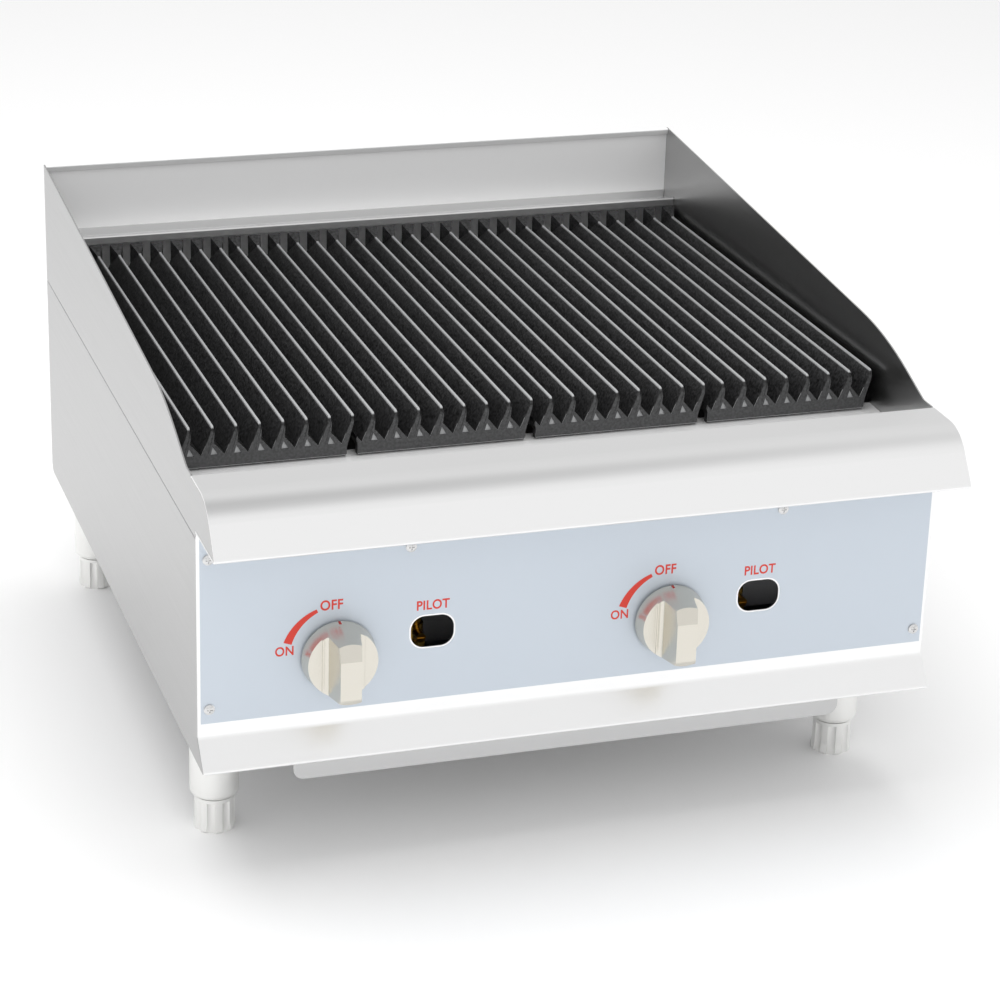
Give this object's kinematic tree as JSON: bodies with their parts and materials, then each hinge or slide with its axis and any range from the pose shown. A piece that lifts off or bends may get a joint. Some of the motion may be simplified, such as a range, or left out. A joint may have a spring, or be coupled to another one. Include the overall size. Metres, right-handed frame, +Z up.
{
  "type": "countertop gas charbroiler",
  "caption": "Countertop gas charbroiler with a bullnose front ledge, swept splash guards, lift-off cast grates, turning knobs and a pull-out drip tray.",
  "frame": {"origin": "middle of the box round the whole object, on the floor under the feet", "axes": "+Z up, -Y towards the cook (knob side), +X to the cook's right"},
  "size_m": [0.61, 0.7139, 0.4035],
  "materials": {
    "stainless": "fine straight-grained satin",
    "liner_steel": "dull mill finish",
    "tray_steel": "dull mill finish",
    "leg_metal": "satin",
    "brass": "turned",
    "satin_nickel": "satin",
    "alu_tube": "drawn",
    "cast_iron": "bare casting with ground edges",
    "film": "thin clear blue-grey film",
    "screw_steel": "bright",
    "pipe_paint": "black pipe"
  },
  "bodies": {
    "housing": {"air_shutter_left": "liner_steel", "air_shutter_right": "liner_steel", "back_splash": "stainless", "base_frame": "liner_steel", "burner_left": "liner_steel", "burner_rest": "liner_steel", "burner_right": "liner_steel", "control_panel": "stainless", "firebox_front": "liner_steel", "firebox_left": "liner_steel", "firebox_rear": "liner_steel", "firebox_right": "liner_steel", "front_ledge": "stainless", "gas_manifold": "pipe_paint", "grate_rest_front": "stainless", "grate_rest_rear": "liner_steel", "leg_front_left": "leg_metal", "leg_front_right": "leg_metal", "leg_rear_left": "leg_metal", "leg_rear_right": "leg_metal", "orifice_left": "brass", "orifice_right": "brass", "panel_film": "film", "panel_screws": "screw_steel", "pilot_burner_left": "liner_steel", "pilot_burner_right": "liner_steel", "pilot_tube_left": "alu_tube", "pilot_tube_right": "alu_tube", "pilot_valve_left": "brass", "pilot_valve_right": "brass", "radiant_left_inlet": "cast_iron", "radiant_left_return": "cast_iron", "radiant_rest_front": "liner_steel", "radiant_rest_rear": "liner_steel", "radiant_right_inlet": "cast_iron", "radiant_right_return": "cast_iron", "rear_panel": "liner_steel", "rear_shelf": "stainless", "side_panel_left": "stainless", "side_panel_right": "stainless", "splash_guard_left": "stainless", "splash_guard_right": "stainless", "tray_runner_left": "liner_steel", "tray_runner_right": "liner_steel", "valve_left": "brass", "valve_right": "brass"},
    "knob_left": {"knob_left": "satin_nickel", "valve_stem_left": "brass"},
    "foot_front_left": {"foot_front_left": "leg_metal"},
    "foot_rear_left": {"foot_rear_left": "leg_metal"},
    "knob_right": {"knob_right": "satin_nickel", "valve_stem_right": "brass"},
    "foot_front_right": {"foot_front_right": "leg_metal"},
    "foot_rear_right": {"foot_rear_right": "leg_metal"},
    "drip_tray": {"drip_tray": "tray_steel"},
    "grate_1": {"grate_1": "cast_iron"},
    "grate_2": {"grate_2": "cast_iron"},
    "grate_3": {"grate_3": "cast_iron"},
    "grate_4": {"grate_4": "cast_iron"}
  },
  "joints": [
    {"name": "knob_turn_left", "type": "hinge", "parent": "housing", "child": "knob_left", "pos_m": [-0.1943, -0.315, 0.1846], "axis": [0, -1, 0], "range_deg": [0, 90]},
    {"name": "knob_turn_right", "type": "hinge", "parent": "housing", "child": "knob_right", "pos_m": [0.0793, -0.315, 0.1846], "axis": [0, -1, 0], "range_deg": [0, 90]},
    {"name": "tray_slide", "type": "slide", "parent": "housing", "child": "drip_tray", "axis": [0, -1, 0], "range_m": [0, 0.45]},
    {"name": "foot_screw_front_left", "type": "slide", "parent": "housing", "child": "foot_front_left", "axis": [0, 0, -1], "range_m": [0, 0.025]},
    {"name": "foot_screw_rear_left", "type": "slide", "parent": "housing", "child": "foot_rear_left", "axis": [0, 0, -1], "range_m": [0, 0.025]},
    {"name": "foot_screw_front_right", "type": "slide", "parent": "housing", "child": "foot_front_right", "axis": [0, 0, -1], "range_m": [0, 0.025]},
    {"name": "foot_screw_rear_right", "type": "slide", "parent": "housing", "child": "foot_rear_right", "axis": [0, 0, -1], "range_m": [0, 0.025]},
    {"name": "grate_lift_1", "type": "slide", "parent": "housing", "child": "grate_1", "axis": [0, 0, 1], "range_m": [0, 0.12]},
    {"name": "grate_lift_2", "type": "slide", "parent": "housing", "child": "grate_2", "axis": [0, 0, 1], "range_m": [0, 0.12]},
    {"name": "grate_lift_3", "type": "slide", "parent": "housing", "child": "grate_3", "axis": [0, 0, 1], "range_m": [0, 0.12]},
    {"name": "grate_lift_4", "type": "slide", "parent": "housing", "child": "grate_4", "axis": [0, 0, 1], "range_m": [0, 0.12]}
  ]
}
